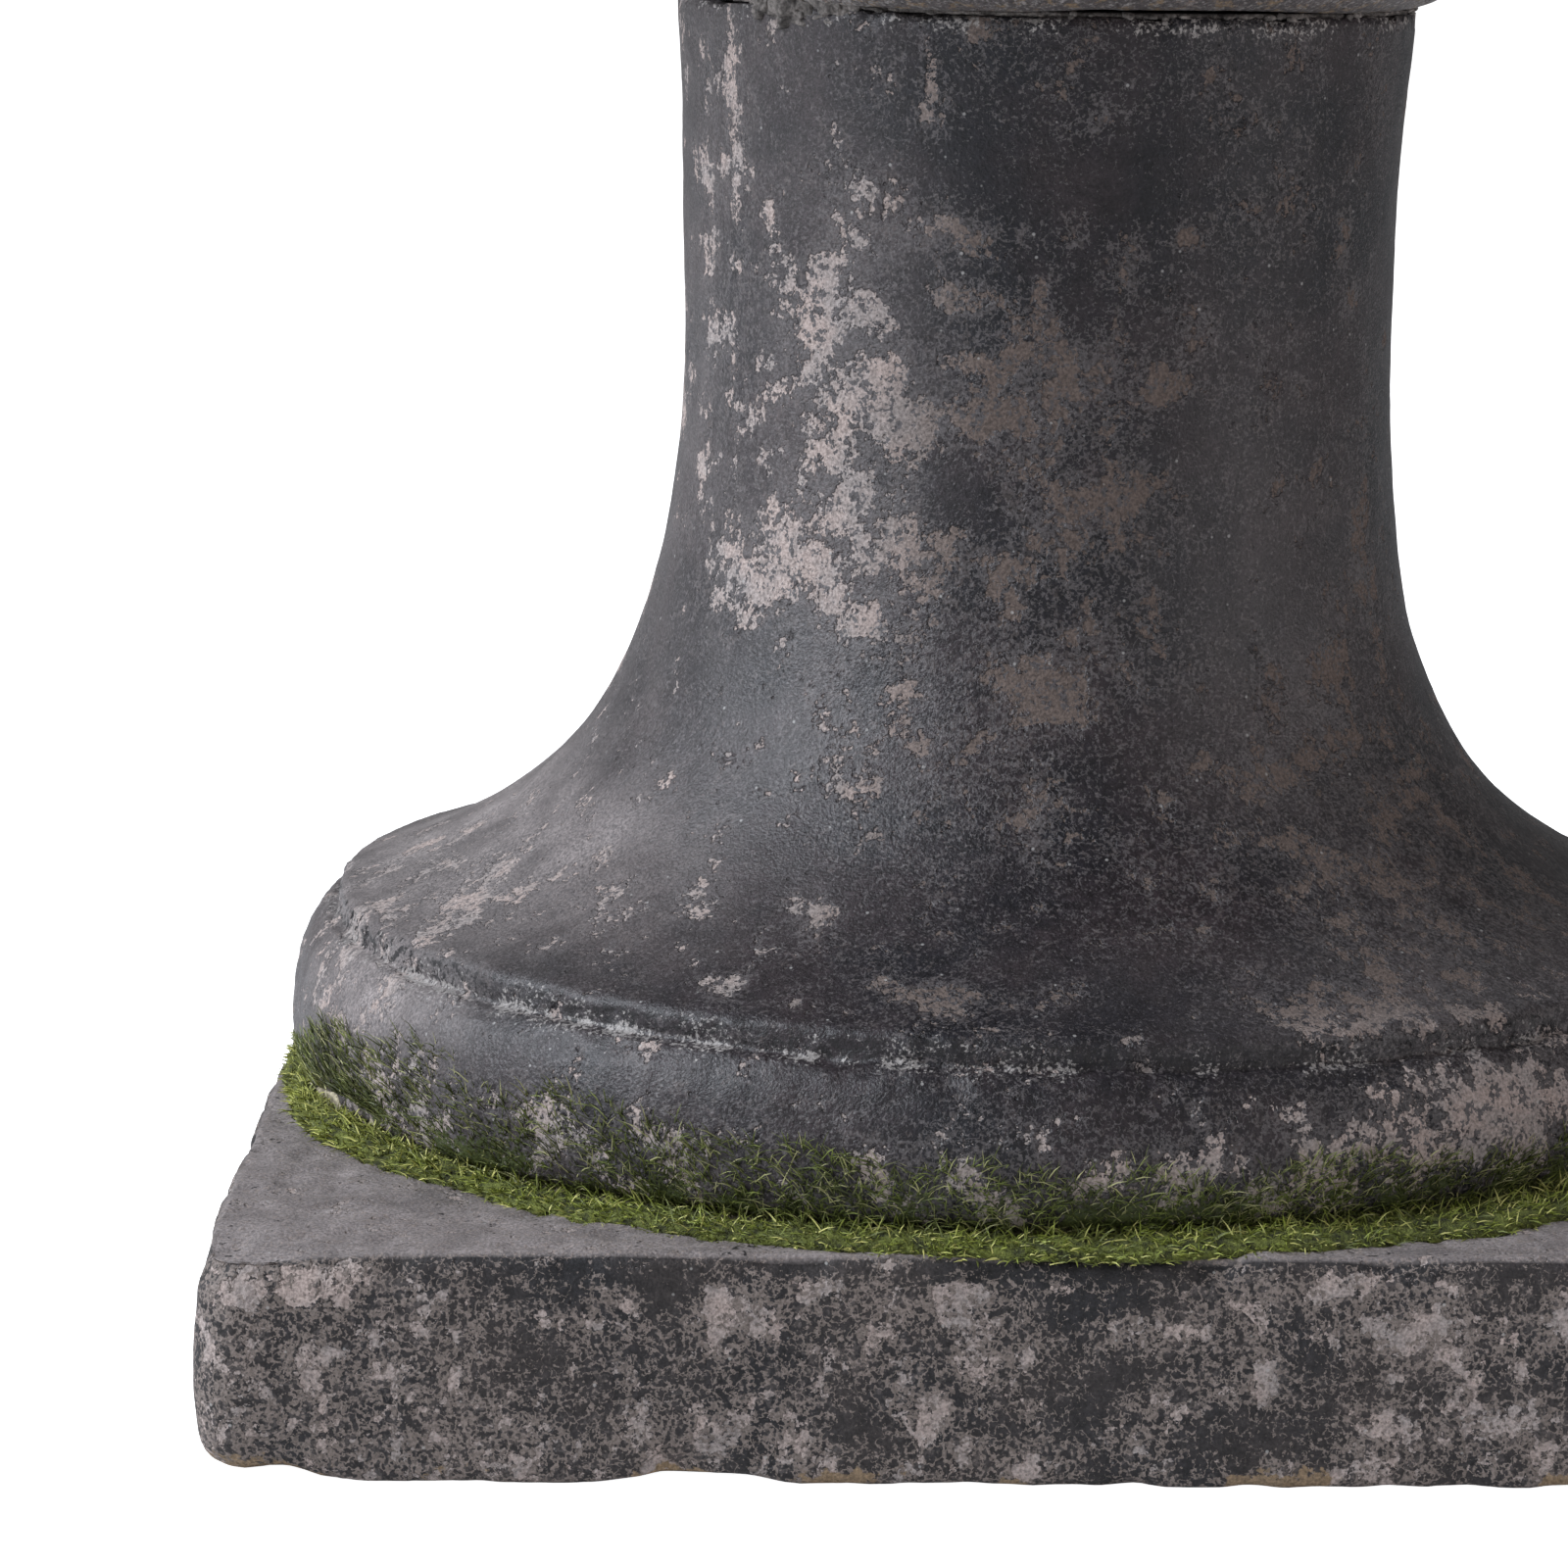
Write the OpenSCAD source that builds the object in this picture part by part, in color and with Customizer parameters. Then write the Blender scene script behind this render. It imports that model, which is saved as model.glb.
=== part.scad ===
// Garden bird bath in cast stone: a square plinth, a bell-shaped pedestal bedded on it
// over a steel dowel, and a shallow dish whose spigot drops into the pedestal's head.
// Units are millimetres. The origin is the centre of the plinth's underside, +Z is up.

/* [Plinth] */
// Width and depth of the square plinth
plinth_w = 360; // [352:1:440]
// Height of the plinth
plinth_h = 49; // [44:1:80]
// Radius of the plinth's upright corners
corner_r = 10; // [6:1:30]
// Radius of the edge round the plinth's top
arris_r = 4; // [2:0.5:6]

/* [Bed and dowel] */
// Thickness of the mortar bed under the pedestal
mortar_t = 2.5; // [1.5:0.5:10]
// Set-back of the mortar bed from the pedestal's edge
mortar_inset = 1; // [0.5:0.5:6]
// Diameter of the steel dowel
dowel_d = 16; // [10:1:20]
// Length of the dowel
dowel_l = 150; // [110:1:190]
// Length of the dowel let into the plinth
dowel_in_plinth = 36; // [24:1:40]
// Thickness of the grout round the dowel
grout_t = 6; // [3:0.5:10]

/* [Pedestal foot] */
// Greatest diameter of the rounded band at the foot
foot_d = 342; // [280:1:344]
// Height of the band
band_h = 33.1; // [26:0.1:45]
// Height of the band's widest line
band_belly_z = 10; // [6:0.1:14]
// Set-back of the band at the bed
band_heel = 2.6; // [2:0.1:8]
// Set-back of the band's top edge
band_lip = 7.5; // [5:0.1:12]
// Width of the ledge behind the band
ledge_w = 3; // [2:0.1:6]
// Height of the upright step above the ledge
step_h = 4.6; // [3:0.1:8]
// Width of the small shoulder above the step
shoulder_w = 6; // [4:0.1:10]
// Height of that shoulder
shoulder_h = 3.6; // [2:0.1:6]

/* [Pedestal bell] */
// Height of the pedestal from its bed to its head
pedestal_h = 247.8; // [205:0.1:330]
// Diameter of the waist
waist_d = 163.6; // [136:0.1:200]
// Height of the waist above the bed
waist_z = 168; // [140:0.1:195]
// Diameter of the head
neck_d = 169.4; // [150:0.1:206]
// Slope of the bell where it meets the shoulder
bell_slope = 19.6; // [10:0.1:30]

/* [Joint under the dish] */
// Height of the open joint
joint_gap = 1.2; // [0.8:0.1:4]
// Diameter of the mortar dabs that level the dish
dab_d = 32; // [20:1:38]
// Clearance between the dabs and the dish's seat
dab_gap = 0.2; // [0.1:0.1:0.6]
// Number of dabs
dab_count = 3; // [3:1:6]
// Direction of the first dab, from +X
dab_angle = 229; // [0:1:359]
// Diameter of the dish's spigot
spigot_d = 68; // [40:1:80]
// Length of the spigot
spigot_l = 30; // [20:1:40]
// Bevel round the spigot's end
spigot_bevel = 3; // [1:0.5:6]
// Clearance round the spigot
spigot_side_gap = 2; // [1:0.5:4]
// Clearance under the spigot
spigot_end_gap = 5; // [3:0.5:10]

/* [Dish] */
// Diameter of the dish over its rim
bowl_d = 564; // [480:1:680]
// Height of the dish from its seat to its rim
bowl_h = 172; // [144:1:206]
// Depth of the water hollow
hollow_h = 70; // [50:1:80]
// Width of the rolled rim, from front to back
rim_w = 24; // [18:1:34]
// Height of the rolled rim
rim_h = 30; // [20:1:40]
// Width of the collar's bulge past the pedestal's head
collar_bulge = 10; // [4:0.5:16]
// Height of the collar
collar_h = 20; // [14:1:30]
// Diameter of the stem just above the collar
stem_d = 172; // [150:1:188]

/* [Moss] */
// Width of the moss round the pedestal's foot
moss_w = 8; // [4:0.5:9]
// Height of the moss
moss_h = 7; // [3:0.5:12]
// Clearance between the moss and the pedestal
moss_gap = 0.4; // [0.3:0.1:1]

/* [Hidden] */
$fn = 96;

// Heights of the faces where one piece stands on the next
bed_z = plinth_h + mortar_t;
head_z = bed_z + pedestal_h;
seat_z = head_z + joint_gap;

// The dowel and its grouted hole
dowel_z = plinth_h - dowel_in_plinth;
grout_d = dowel_d + 2 * grout_t;

// The socket for the spigot
socket_d = spigot_d + 2 * spigot_side_gap;
socket_h = spigot_l - joint_gap + spigot_end_gap;
dab_ring_r = (socket_d + neck_d) / 4;

// How far each curve keeps the direction of its ends, as a share of its rise or run
waist_pull = 0.595;
foot_pull = 0.743;
neck_pull = 0.28;
neck_flare = 3.4;

stone = "dimgray";
stone_light = "gray";

// Point at t on the cubic curve with ends a and d and handles b and c
function cubic(a, b, c, d, t) =
    pow(1 - t, 3) * a + 3 * pow(1 - t, 2) * t * b + 3 * (1 - t) * t * t * c + pow(t, 3) * d;

// The curve's points from a to d, in n steps
function curve(a, b, c, d, n) = [for (i = [0 : n]) cubic(a, b, c, d, i / n)];

// Square of width w with its corners rounded to radius r
module rounded_square(w, r) {
    square([w - 2 * r, w], center = true);
    square([w, w - 2 * r], center = true);
    for (x = [-1, 1], y = [-1, 1])
        translate([x * (w / 2 - r), y * (w / 2 - r)])
            circle(r);
}

// Section of an upright corner, with the rounded arris at its top
module corner_section() {
    square([corner_r, plinth_h - arris_r]);
    square([corner_r - arris_r, plinth_h]);
    translate([corner_r - arris_r, plinth_h - arris_r])
        intersection() {
            circle(arris_r);
            square(arris_r);
        }
}

module plinth_block() {
    side = plinth_w - 2 * corner_r;
    linear_extrude(plinth_h - arris_r)
        rounded_square(plinth_w, corner_r);
    linear_extrude(plinth_h)
        rounded_square(plinth_w - 2 * arris_r, corner_r - arris_r);
    for (turn = [0 : 90 : 270])
        rotate([0, 0, turn]) {
            translate([-side / 2, plinth_w / 2 - arris_r, plinth_h - arris_r])
                rotate([0, 90, 0])
                    cylinder(r = arris_r, h = side);
            translate([side / 2, side / 2, 0])
                rotate_extrude()
                    corner_section();
        }
}

module plinth() {
    color(stone)
        difference() {
            plinth_block();
            translate([0, 0, dowel_z])
                cylinder(d = grout_d, h = dowel_in_plinth + 1);
        }
}

module foot_mortar() {
    color("lightgray")
        translate([0, 0, plinth_h])
            difference() {
                cylinder(d = foot_d - 2 * band_heel - 2 * mortar_inset, h = mortar_t);
                translate([0, 0, -1])
                    cylinder(d = grout_d, h = mortar_t + 2);
            }
}

module foot_dowel() {
    color("silver")
        translate([0, 0, dowel_z])
            cylinder(d = dowel_d, h = dowel_l);
}

module dowel_grout() {
    color("lightgray")
        translate([0, 0, dowel_z])
            difference() {
                cylinder(d = grout_d, h = dowel_l);
                translate([0, 0, -1])
                    cylinder(d = dowel_d, h = dowel_l + 2);
            }
}

// Outline of the pedestal from the axis at its bed, up its outside, to the axis at its head
function pedestal_outline() =
    let (
        foot_r = foot_d / 2,
        waist_r = waist_d / 2,
        neck_r = neck_d / 2,
        lip_r = foot_r - band_lip,
        step_r = lip_r - ledge_w,
        bell_r = step_r - shoulder_w,
        step_top = band_h + step_h,
        bell_z = step_top + shoulder_h,
        bell_run = foot_pull * (bell_r - waist_r),
        neck_rise = neck_pull * (pedestal_h - waist_z)
    )
    concat(
        [[0, 0]],
        curve([foot_r - band_heel, 0], [foot_r - band_heel * 0.4, band_belly_z * 0.3],
            [foot_r, band_belly_z * 0.6], [foot_r, band_belly_z], 5),
        curve([foot_r, band_belly_z], [foot_r, band_h * 0.68],
            [foot_r - band_lip * 0.45, band_h * 0.86], [lip_r, band_h], 9),
        [[step_r, band_h]],
        curve([step_r, step_top], [step_r, step_top + shoulder_h * 0.6],
            [step_r - shoulder_w * 0.5, bell_z - shoulder_h * 0.2], [bell_r, bell_z], 5),
        curve([bell_r, bell_z],
            [bell_r - bell_run * cos(bell_slope), bell_z + bell_run * sin(bell_slope)],
            [waist_r, waist_z - waist_pull * (waist_z - bell_z)], [waist_r, waist_z], 26),
        curve([waist_r, waist_z], [waist_r, waist_z + neck_rise],
            [neck_r - neck_rise * sin(neck_flare), pedestal_h - neck_rise],
            [neck_r, pedestal_h], 8),
        [[0, pedestal_h]]
    );

module pedestal() {
    color(stone)
        difference() {
            translate([0, 0, bed_z])
                rotate_extrude()
                    polygon(pedestal_outline());
            translate([0, 0, bed_z - 1])
                cylinder(d = grout_d, h = dowel_z + dowel_l - bed_z + 1);
            translate([0, 0, head_z - socket_h])
                cylinder(d = socket_d, h = socket_h + 1);
        }
}

module seat_dabs() {
    color("lightgray")
        for (i = [0 : dab_count - 1])
            rotate([0, 0, dab_angle + i * 360 / dab_count])
                translate([dab_ring_r, 0, head_z])
                    cylinder(d = dab_d, h = joint_gap - dab_gap);
}

// Outline of the dish from the axis under its spigot, up its outside, over the rim and
// down the hollow to the axis again, with its seat at height 0
function bowl_outline() =
    let (
        neck_r = neck_d / 2,
        stem_r = stem_d / 2,
        bowl_r = bowl_d / 2,
        spigot_r = spigot_d / 2,
        bulge_r = neck_r + collar_bulge,
        throat_z = collar_h + 4,
        rim_low = bowl_h - rim_h,
        hip_r = stem_r + 0.38 * (bowl_r - stem_r),
        hip_z = throat_z + 0.46 * (rim_low - throat_z),
        lip_r = bowl_r - rim_w,
        floor_z = bowl_h - hollow_h
    )
    concat(
        [[0, -spigot_l]],
        [[spigot_r - spigot_bevel, -spigot_l]],
        [[spigot_r, spigot_bevel - spigot_l]],
        [[spigot_r, 0]],
        curve([neck_r, 0], [neck_r + collar_bulge * 0.8, collar_h * 0.12],
            [bulge_r, collar_h * 0.3], [bulge_r, collar_h * 0.5], 6),
        curve([bulge_r, collar_h * 0.5], [bulge_r, collar_h * 0.75],
            [neck_r + collar_bulge * 0.7, collar_h], [stem_r + 2, collar_h], 6),
        curve([stem_r, throat_z], [stem_r, throat_z + 0.55 * (hip_z - throat_z)],
            [hip_r - 0.5 * (hip_r - stem_r), hip_z - 0.28 * (hip_z - throat_z)],
            [hip_r, hip_z], 14),
        curve([hip_r, hip_z], [hip_r + 0.45 * (lip_r - hip_r), hip_z + 0.3 * (rim_low - hip_z)],
            [bowl_r - rim_w * 0.45, rim_low - 0.35 * (rim_low - hip_z)],
            [bowl_r - rim_w * 0.4, rim_low], 14),
        [[bowl_r - rim_w * 0.25, rim_low + 2]],
        curve([bowl_r, rim_low + rim_h * 0.3], [bowl_r, bowl_h - rim_h * 0.2],
            [bowl_r - rim_w * 0.3, bowl_h], [bowl_r - rim_w * 0.55, bowl_h], 8),
        curve([bowl_r - rim_w * 0.75, bowl_h], [lip_r, bowl_h],
            [lip_r, bowl_h - 2], [lip_r, bowl_h - rim_h * 0.3], 5),
        curve([lip_r - 2, bowl_h - rim_h * 0.35], [lip_r - 22, bowl_h - 0.75 * hollow_h],
            [lip_r - 95, floor_z + 6], [lip_r - 165, floor_z + 2], 18),
        [[0, floor_z]]
    );

module bowl() {
    color(stone_light)
        translate([0, 0, seat_z])
            rotate_extrude()
                polygon(bowl_outline());
}

// The moss grows on the plinth against the pedestal's foot
module foot_moss() {
    color("olivedrab")
        translate([0, 0, plinth_h])
            rotate_extrude()
                translate([foot_d / 2 + moss_gap, 0])
                    polygon(concat(
                        curve([moss_w, 0], [moss_w, moss_h * 0.5], [moss_w * 0.6, moss_h],
                            [0, moss_h], 6),
                        [[0, 0]]
                    ));
}

plinth();
foot_mortar();
foot_dowel();
dowel_grout();
pedestal();
seat_dabs();
bowl();
foot_moss();
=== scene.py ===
"""A garden bird bath in cast stone: a square plinth, a bell-shaped pedestal bedded on it, a
shallow dish that sits in the pedestal's head, and the moss that has grown round the foot."""
import math

import bmesh
import bpy
import numpy as np
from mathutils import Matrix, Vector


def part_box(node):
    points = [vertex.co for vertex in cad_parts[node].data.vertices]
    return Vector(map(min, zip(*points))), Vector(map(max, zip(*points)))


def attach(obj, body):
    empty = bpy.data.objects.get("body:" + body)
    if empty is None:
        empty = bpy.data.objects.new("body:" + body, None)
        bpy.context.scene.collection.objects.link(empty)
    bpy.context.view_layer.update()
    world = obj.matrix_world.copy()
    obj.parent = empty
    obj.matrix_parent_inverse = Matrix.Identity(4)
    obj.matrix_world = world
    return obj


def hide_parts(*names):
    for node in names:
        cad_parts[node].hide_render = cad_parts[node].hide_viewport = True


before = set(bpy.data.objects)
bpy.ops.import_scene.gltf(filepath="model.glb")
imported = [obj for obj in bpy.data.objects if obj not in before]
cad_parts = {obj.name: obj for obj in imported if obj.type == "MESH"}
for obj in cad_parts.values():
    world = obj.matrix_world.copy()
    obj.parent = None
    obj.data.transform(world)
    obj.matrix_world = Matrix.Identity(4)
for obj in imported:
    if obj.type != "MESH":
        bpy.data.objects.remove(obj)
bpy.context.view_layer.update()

MM = 0.001
rng = np.random.default_rng(41)

# -----------------------------------------------
# Studio. A pale floor in a white room, a large soft lamp high on the left, and a weaker
# one on the right. The camera stands low and close, so that the foot fills the view.
# -----------------------------------------------
def new_object(name, data):
    """An object with this data, in the scene."""
    made = bpy.data.objects.new(name, data)
    bpy.context.scene.collection.objects.link(made)
    return made


CAMERA_PLACE = (-0.0399, -1.3036, 0.3582)
CAMERA_PITCH, CAMERA_ROLL, CAMERA_YAW = 0.1841, -0.002, 0.0151
CAMERA_LENS = 129.0

camera_data = bpy.data.cameras.new("camera")
camera_data.lens = CAMERA_LENS
camera_data.sensor_width = 36
camera_data.clip_start = 0.01
camera = new_object("camera", camera_data)
camera.location = CAMERA_PLACE
camera.rotation_euler = (math.pi / 2 - CAMERA_PITCH, CAMERA_ROLL, CAMERA_YAW)
bpy.context.scene.camera = camera
bpy.context.scene.view_settings.view_transform = "Standard"


class Graph:
    """Adds nodes to one node tree. A socket given as a value is linked, and a number is set."""

    def __init__(self, tree):
        self.tree = tree

    def put(self, socket, value):
        if isinstance(value, bpy.types.NodeSocket):
            self.tree.links.new(value, socket)
        else:
            socket.default_value = value

    def add(self, kind, inputs=(), **settings):
        node = self.tree.nodes.new("ShaderNode" + kind)
        for name, value in settings.items():
            setattr(node, name, value)
        for name, value in dict(inputs).items():
            self.put(node.inputs[name], value)
        return node

    def math(self, operation, a, b=0.0):
        node = self.add("Math", operation=operation)
        self.put(node.inputs[0], a)
        self.put(node.inputs[1], b)
        return node.outputs[0]

    def mix(self, share, a, b, blend="MIX"):
        node = self.add("Mix", data_type="RGBA", blend_type=blend)
        self.put(node.inputs[0], share)
        self.put(node.inputs[6], a)
        self.put(node.inputs[7], b)
        return node.outputs[2]

    def step(self, value, low, high, to_low=0.0, to_high=1.0):
        inputs = {"Value": value, "From Min": low, "From Max": high,
                  "To Min": to_low, "To Max": to_high}
        return self.add("MapRange", inputs, interpolation_type="SMOOTHSTEP").outputs[0]

    def noise(self, vector, size, detail, roughness):
        inputs = {"Vector": vector, "Scale": 1 / size, "Detail": detail, "Roughness": roughness}
        return self.add("TexNoise", inputs).outputs[0]

    def attribute(self, name):
        return self.add("Attribute", attribute_name=name).outputs["Fac"]

    def shaded(self, colour, shade):
        """The colour, lighter or darker by that factor."""
        grey = self.add("CombineColor", {"Red": shade, "Green": shade, "Blue": shade}).outputs[0]
        return self.mix(1.0, colour, grey, "MULTIPLY")

    def surface(self, shader, colour, roughness, height=None, distance=0.0):
        """Gives the shader its colour and roughness, and a bump if there is a height."""
        self.put(shader.inputs["Base Color"], colour)
        self.put(shader.inputs["Roughness"], roughness)
        if height is not None:
            bump = self.add("Bump", {"Height": height, "Distance": distance})
            self.put(shader.inputs["Normal"], bump.outputs[0])


def new_material(name):
    """An empty material with its Principled shader, and the graph and coordinates to fill it."""
    material = bpy.data.materials.new(name)
    material.use_nodes = True
    graph = Graph(material.node_tree)
    shader = material.node_tree.nodes["Principled BSDF"]
    place = graph.add("TexCoord").outputs["Object"]
    return material, graph, shader, place


def new_group(name, inputs, outputs):
    """An empty node group with these inputs, as name: default, and float outputs."""
    tree = bpy.data.node_groups.new(name, "ShaderNodeTree")
    for label, default in inputs.items():
        kind = "NodeSocketVector" if default is None else "NodeSocketFloat"
        socket = tree.interface.new_socket(label, in_out="INPUT", socket_type=kind)
        if default is not None:
            socket.default_value = default
    for label in outputs:
        tree.interface.new_socket(label, in_out="OUTPUT", socket_type="NodeSocketFloat")
    given = tree.nodes.new("NodeGroupInput").outputs
    result = tree.nodes.new("NodeGroupOutput").inputs
    return tree, Graph(tree), given, result


def use_group(graph, tree, **inputs):
    """The outputs of a node group, with its inputs given by name."""
    node = graph.add("Group", node_tree=tree)
    for label, value in inputs.items():
        graph.put(node.inputs[label.replace("_", " ").capitalize()], value)
    return node.outputs


def soft_lamp(name, place, aim, size, power, colour):
    """A round lamp of that diameter in metres and power in watts, turned to face its aim."""
    data = bpy.data.lights.new(name, "AREA")
    data.shape = "DISK"
    data.size = size
    data.energy = power
    data.color = colour
    lamp = new_object(name, data)
    lamp.location = place
    direction = np.array(aim) - np.array(place)
    lamp.rotation_euler = (
        math.atan2(math.hypot(direction[0], direction[1]), -direction[2]),
        0,
        math.atan2(direction[1], direction[0]) - math.pi / 2,
    )


soft_lamp("lamp_left", place=(-2.05, -0.6, 1.7), aim=(0, 0, 0.12), size=1.5, power=92,
          colour=(0.86, 0.92, 1.0))
soft_lamp("lamp_right", place=(2.0, -0.9, 0.6), aim=(0, 0, 0.08), size=1.4, power=13,
          colour=(1.0, 0.95, 0.96))

FLOOR_HALF = 40
floor_data = bpy.data.meshes.new("floor")
floor_corners = [(-FLOOR_HALF, -FLOOR_HALF, 0), (FLOOR_HALF, -FLOOR_HALF, 0),
                 (FLOOR_HALF, FLOOR_HALF, 0), (-FLOOR_HALF, FLOOR_HALF, 0)]
floor_data.from_pydata(floor_corners, [], [(0, 1, 2, 3)])
floor = new_object("floor", floor_data)
paper, graph, shader, place = new_material("floor_paper")
PAPER = (0.88, 0.88, 0.88, 1)
graph.surface(shader, PAPER, 0.9)
seen_white = graph.add("LightPath").outputs["Is Camera Ray"]
graph.put(shader.inputs["Emission Color"], (1, 1, 1, 1))
graph.put(shader.inputs["Emission Strength"], seen_white)
floor_data.materials.append(paper)

# The room looks white, and lights the object a little, more from the left than the right.
world = bpy.data.worlds.new("room")
world.use_nodes = True
bpy.context.scene.world = world
graph = Graph(world.node_tree)
direction = graph.add("TexCoord").outputs["Generated"]
axes = graph.add("SeparateXYZ", {"Vector": direction}).outputs
brightness = graph.step(axes["X"], -1.0, 0.8, 0.45, 0.14)
brightness = graph.math("MAXIMUM", brightness, graph.add("LightPath").outputs["Is Camera Ray"])
graph.put(world.node_tree.nodes["Background"].inputs["Color"], (1, 1, 1, 1))
graph.put(world.node_tree.nodes["Background"].inputs["Strength"], brightness)


# -----------------------------------------------
# Plinth. One square slab of cast stone, with a blind hole for the dowel in its top. Its
# edges are rounded by handling and weather, and the lower edge is chipped.
# -----------------------------------------------
def noise(points, size, seed):
    """Smooth noise, about -1 to 1, with lumps of that size, at each of the points."""
    table = np.random.default_rng(seed)
    slopes = table.normal(size=(256, 3))
    slopes /= np.linalg.norm(slopes, axis=1)[:, None]
    order = table.permutation(256)
    place = points / size + 100.0
    cell = np.floor(place).astype(int)
    part = place - cell
    ease = part ** 3 * (part * (part * 6 - 15) + 10)
    total = np.zeros(points.shape[:-1])
    for corner in np.ndindex(2, 2, 2):
        at = cell + corner
        pick = order[(order[(order[at[..., 0] & 255] + at[..., 1]) & 255] + at[..., 2]) & 255]
        weight = np.where(corner, ease, 1 - ease).prod(-1)
        total += weight * (slopes[pick] * (part - corner)).sum(-1)
    return total * 1.8


def rough(points, size, seed, octaves=3, fall=0.5):
    """Noise with finer lumps on the coarse ones, each octave half as large."""
    return sum(noise(points, size / 2 ** k, seed + k) * fall ** k for k in range(octaves))


def smooth(value, low, high):
    """0 below low, 1 above high, and a smooth rise between them."""
    t = np.clip((value - low) / (high - low), 0, 1)
    return t * t * (3 - 2 * t)


def hump(value, middle, width):
    """1 at the middle, falling off on both sides to about a third at that width."""
    return np.exp(-((value - middle) / width) ** 2)


def grid_normals(grid):
    """Outward unit normals of a grid of points, rings by columns, closed round the columns."""
    along = np.gradient(grid, axis=0)
    across = np.roll(grid, -1, 1) - np.roll(grid, 1, 1)
    normal = np.cross(across, along)
    length = np.linalg.norm(normal, axis=2, keepdims=True)
    return normal / np.maximum(length, 1e-12)


def ring_mesh(name, grid, capped=(True, True)):
    """A mesh through rings of points, with a point in the middle of each end that is capped."""
    rings, columns = grid.shape[:2]
    points = grid.reshape(-1, 3)
    index = np.arange(rings * columns).reshape(rings, columns)
    beside = np.roll(index, -1, 1)
    quads = np.stack([index[:-1], beside[:-1], beside[1:], index[1:]], -1).reshape(-1, 4)
    faces = quads.tolist()
    for end, wanted in zip((0, -1), capped):
        if wanted:
            middle = len(points)
            points = np.vstack([points, grid[end].mean(0)])
            pairs = zip(index[end], beside[end])
            faces += [(b, a, middle) if end == 0 else (a, b, middle) for a, b in pairs]
    data = bpy.data.meshes.new(name)
    data.from_pydata(points.tolist(), [], faces)
    data.polygons.foreach_set("use_smooth", np.ones(len(faces), bool))
    data.update()
    return new_object(name, data)


def store(piece, name, grid_values):
    """Keeps one value for each point of the piece's grid, for its material to read."""
    data = piece.data
    values = np.zeros(len(data.vertices), np.float32)
    flat = np.asarray(grid_values, np.float32).ravel()
    values[: len(flat)] = flat
    values[len(flat):] = flat[-1]
    data.attributes.new(name, "FLOAT", "POINT").data.foreach_set("value", values)


PLINTH_COLUMNS = 880
PLINTH_CORNER = 11 * MM
PLINTH_ARRIS = 3 * MM
PLINTH_FOOT = 3 * MM
PLINTH_BATTER = 1.4 * MM
PLINTH_BEDDED = 150 * MM
CORNER_WEAR = 9 * MM
plinth_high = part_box("plinth")[1]
plinth_half = plinth_high.x
plinth_top = plinth_high.z
dowel_low, dowel_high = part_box("dowel_grout")
dowel_hole = dowel_high.x


def square_ring(half, corner, columns):
    """Points evenly spaced round a square with rounded corners, and their outward directions."""
    straight = 2 * (half - corner)
    side_length = straight + corner * math.pi / 2
    turn, run = np.divmod(np.arange(columns) / columns * 4 * side_length, side_length)
    bend = np.clip((run - straight) / corner, 0, None)
    x = half - corner + corner * np.cos(bend)
    y = np.minimum(run, straight) - straight / 2 + corner * np.sin(bend)
    turn = turn * math.pi / 2
    return (np.stack([x * np.cos(turn) - y * np.sin(turn), x * np.sin(turn) + y * np.cos(turn)], -1),
            np.stack([np.cos(turn + bend), np.sin(turn + bend)], -1))


def plinth_rings():
    """The slab's rings, from under its middle, round its edges and over its top to the hole."""
    edge, out = square_ring(plinth_half, PLINTH_CORNER, PLINTH_COLUMNS)
    round_edge = edge / np.linalg.norm(edge, axis=1)[:, None]
    rings = []

    def add(points, height):
        rings.append(np.column_stack([points, np.full(PLINTH_COLUMNS, height)]))

    def at(inset):
        return edge - inset * out

    under = at(PLINTH_FOOT)
    for share in (0.1, 0.4, 0.7, 0.9, 0.97):
        add(round_edge * 20 * MM * (1 - share) + under * share, 0)
    for bend in np.radians(np.linspace(0, 90, 5)):
        add(at(PLINTH_FOOT * (1 - math.sin(bend))), PLINTH_FOOT * (1 - math.cos(bend)))
    side_top = plinth_top - PLINTH_ARRIS
    for height in np.linspace(PLINTH_FOOT, side_top, 27)[1:-1]:
        add(at(PLINTH_BATTER * height / side_top), height)
    for bend in np.radians(np.linspace(0, 90, 7)):
        add(at(PLINTH_BATTER + PLINTH_ARRIS * (1 - math.cos(bend))),
            side_top + PLINTH_ARRIS * math.sin(bend))
    brow = at(PLINTH_BATTER + PLINTH_ARRIS)
    for share in np.linspace(0, 1, 40)[1:]:
        add(brow * (1 - share) + round_edge * PLINTH_BEDDED * share, plinth_top)
    add(round_edge * dowel_hole, plinth_top)
    add(round_edge * dowel_hole, dowel_low.z)
    return np.array(rings)


grid = plinth_rings()
normal = grid_normals(grid)
height = grid[..., 2]
reach = np.abs(grid[..., :2]).max(-1)
outside = smooth(reach, plinth_half - 10 * MM, plinth_half - 6 * MM)
on_top = smooth(height, plinth_top - 0.9 * MM, plinth_top - 0.1 * MM)
on_top *= smooth(reach, 100 * MM, PLINTH_BEDDED)
on_side = outside * (1 - on_top)
arris = on_side * smooth(height, plinth_top - 7 * MM, plinth_top - 2 * MM)
heel = outside * (1 - smooth(height, 3 * MM, 12 * MM))
to_corner = 2 * plinth_half + grid[..., 0] + grid[..., 1]
corner = 1 - smooth(to_corner, 8 * MM, 40 * MM)
depth = 0.9 * MM * rough(grid, 60 * MM, 1) + 0.18 * MM * rough(grid, 9 * MM, 5, 3, 0.6)
depth -= corner * 3.5 * MM * smooth(height, plinth_top - 10 * MM, plinth_top)
bulge = smooth(height, 6 * MM, 20 * MM) * (1 - smooth(height, 24 * MM, 44 * MM))
depth += corner * 1.5 * MM * bulge
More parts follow.
